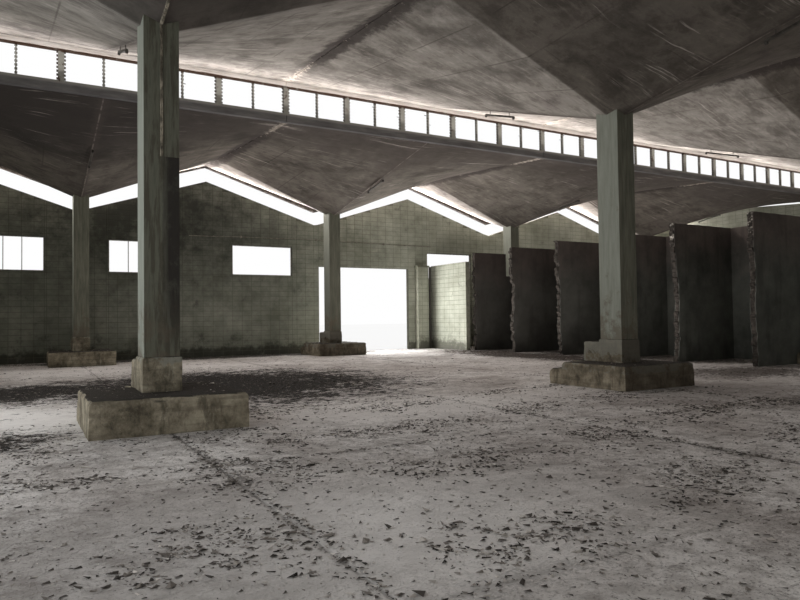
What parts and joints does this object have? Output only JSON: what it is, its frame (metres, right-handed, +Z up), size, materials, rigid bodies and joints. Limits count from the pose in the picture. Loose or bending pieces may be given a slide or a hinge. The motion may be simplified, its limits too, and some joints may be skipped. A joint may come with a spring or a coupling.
{
  "type": "factory building",
  "caption": "Open factory hall under tilted umbrella shells of thin concrete, with clerestory louvre strips, painted block walls and a bunker wing.",
  "frame": {"origin": "middle of the underside of the floor slab", "axes": "+X along the long far wall, +Y across the rows towards the far wall, +Z up"},
  "size_m": [38.8, 35.6, 8.68],
  "materials": {
    "shell_concrete": "matte",
    "painted_concrete": "matte",
    "raw_concrete": "matte",
    "beam_concrete": "matte",
    "louvre_paint": "matte",
    "painted_block": "matte",
    "dark_plaster": "matte",
    "floor_concrete": "matte"
  },
  "bodies": {
    "root": {"floor_slab": "floor_concrete", "far_shell_1": "shell_concrete", "far_shell_2": "shell_concrete", "far_shell_3": "shell_concrete", "far_shell_4": "shell_concrete", "mid_shell_1": "shell_concrete", "mid_shell_2": "shell_concrete", "mid_shell_3": "shell_concrete", "mid_shell_4": "shell_concrete", "near_shell_1": "shell_concrete", "near_shell_2": "shell_concrete", "near_shell_3": "shell_concrete", "near_shell_4": "shell_concrete", "far_columns": "painted_concrete", "mid_columns": "painted_concrete", "near_columns": "painted_concrete", "far_plinths": "raw_concrete", "mid_plinths": "raw_concrete", "near_plinths": "raw_concrete", "far_eaves_lips": "shell_concrete", "near_eaves_lips": "shell_concrete", "head_beams": "shell_concrete", "sill_beams": "beam_concrete", "louvre_rails": "louvre_paint", "far_louvre_posts": "louvre_paint", "near_louvre_posts": "louvre_paint", "far_wall_1": "painted_block", "far_wall_2": "painted_block", "far_wall_3": "painted_block", "far_wall_4": "painted_block", "near_wall_1": "painted_block", "near_wall_2": "painted_block", "near_wall_3": "painted_block", "near_wall_4": "painted_block", "left_wall_far": "painted_block", "left_wall_mid": "painted_block", "left_wall_near": "painted_block", "right_wall_far": "painted_block", "right_wall_mid": "painted_block", "right_wall_near": "painted_block", "bunker_fins": "dark_plaster", "bunker_spine": "dark_plaster", "door_side_wall": "painted_block"}
  },
  "joints": []
}
